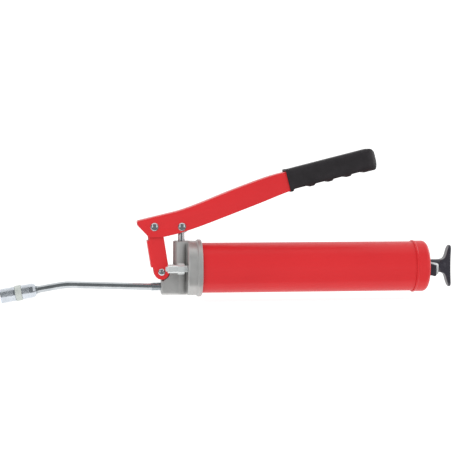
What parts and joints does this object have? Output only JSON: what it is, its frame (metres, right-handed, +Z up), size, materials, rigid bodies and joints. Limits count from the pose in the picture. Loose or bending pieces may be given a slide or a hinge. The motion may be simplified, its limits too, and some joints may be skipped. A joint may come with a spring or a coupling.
{
  "type": "lever grease gun",
  "caption": "Lever-action grease gun: red barrel screwed into a cast pump head, channel lever with black grip, filler nipple, bent extension pipe with jaw coupler, T-handle follower rod.",
  "frame": {"origin": "centre of the coupler's mouth, where a grease fitting goes in", "axes": "+X along the barrel from the coupler towards the T-handle, +Z up towards the lever, +Y across; the filler nipple is on the -Y side"},
  "size_m": [0.5167, 0.065, 0.1731],
  "materials": {
    "cast_zinc": "as-cast, slightly grainy satin",
    "red_paint": "semi-gloss stove enamel",
    "plated_steel": "bright zinc plated",
    "polished_steel": "polished",
    "rivet_steel": "polished",
    "spring_steel": "drawn wire",
    "pipe_steel": "dark bright plating",
    "coupler_chrome": "chrome plated",
    "coupler_collar": "matte blasted",
    "black_rubber": "matt",
    "grip_rubber": "matt, fine texture",
    "black_plastic": "moulded, low gloss"
  },
  "bodies": {
    "head": {"head_casting": "cast_zinc", "plunger_seal": "black_rubber", "seal_retainer": "plated_steel", "check_spring": "spring_steel", "filler_nipple": "plated_steel", "filler_spring": "spring_steel", "extension_pipe": "pipe_steel", "coupler_body": "coupler_chrome", "coupler_collar": "coupler_collar", "coupler_sleeve": "coupler_chrome", "coupler_spring": "spring_steel"},
    "thread_carrier": {"head_gasket": "black_rubber"},
    "barrel": {"barrel_tube": "red_paint", "end_cap": "red_paint", "rod_bush": "plated_steel", "latch_rivets": "plated_steel", "main_spring": "spring_steel"},
    "follower": {"follower_cup": "black_rubber", "front_washer": "plated_steel", "rear_washer": "plated_steel"},
    "rod": {"follower_rod": "plated_steel", "follower_nut": "plated_steel", "t_handle": "black_plastic"},
    "latch": {"rod_latch": "plated_steel", "latch_pad": "black_plastic"},
    "link": {"fulcrum_link": "red_paint", "link_spacer": "plated_steel", "link_head_rivet": "rivet_steel"},
    "lever": {"lever": "red_paint", "grip": "grip_rubber", "lever_link_rivet": "rivet_steel", "lever_plunger_rivet": "rivet_steel", "eye_spacers": "plated_steel"},
    "plunger": {"plunger": "polished_steel", "plunger_eye": "plated_steel"},
    "check_ball": {"check_ball": "polished_steel"},
    "filler_ball": {"filler_ball": "polished_steel"},
    "jaws": {"coupler_jaws": "plated_steel", "coupler_seal": "black_rubber"}
  },
  "joints": [
    {"name": "link_swing", "type": "hinge", "parent": "head", "child": "link", "pos_m": [0.1806, 0, 0.0262], "axis": [0, -1, 0], "range_deg": [-5.1, 2]},
    {"name": "lever_swing", "type": "hinge", "parent": "link", "child": "lever", "pos_m": [0.1725, 0, 0.0773], "axis": [0, -1, 0], "range_deg": [-16.9, 45]},
    {"name": "plunger_stroke", "type": "slide", "parent": "head", "child": "plunger", "axis": [0, 0, 1], "range_m": [-0.0079, 0.0209]},
    {"name": "barrel_advance", "type": "slide", "parent": "head", "child": "thread_carrier", "axis": [1, 0, 0], "range_m": [0, 0.0061]},
    {"name": "barrel_unscrew", "type": "hinge", "parent": "thread_carrier", "child": "barrel", "pos_m": [0.2151, 0, 0.03], "axis": [1, 0, 0], "range_deg": [0, 1440]},
    {"name": "rod_pull", "type": "slide", "parent": "barrel", "child": "follower", "axis": [1, 0, 0], "range_m": [0, 0.2], "stiffness_N_per_m": 300, "springref_m": -0.08, "deforming": ["main_spring"]},
    {"name": "rod_turn", "type": "hinge", "parent": "follower", "child": "rod", "pos_m": [0.24, 0, 0.03], "axis": [1, 0, 0], "continuous": true},
    {"name": "latch_press", "type": "slide", "parent": "barrel", "child": "latch", "axis": [0, 1, 0], "range_m": [0, 0.0014], "stiffness_N_per_m": 1500, "springref_m": -0.001},
    {"name": "check_lift", "type": "slide", "parent": "head", "child": "check_ball", "axis": [-1, 0, 0], "range_m": [0, 0.002], "stiffness_N_per_m": 400, "springref_m": -0.001, "deforming": ["check_spring"]},
    {"name": "filler_lift", "type": "slide", "parent": "head", "child": "filler_ball", "axis": [1, 0, 0], "range_m": [0, 0.002], "stiffness_N_per_m": 400, "springref_m": -0.001, "deforming": ["filler_spring"]},
    {"name": "jaw_slide", "type": "slide", "parent": "head", "child": "jaws", "axis": [0.9854, 0, 0.1702], "range_m": [0, 0.0011], "stiffness_N_per_m": 1500, "springref_m": -0.001, "deforming": ["coupler_spring"]}
  ],
  "couplings": [
    {"joint": "link_swing", "follows": "lever_swing", "ratio": -0.1116},
    {"joint": "plunger_stroke", "follows": "lever_swing", "m_per_rad": 0.02656},
    {"joint": "barrel_advance", "follows": "barrel_unscrew", "m_per_rad": 0.00023873}
  ]
}
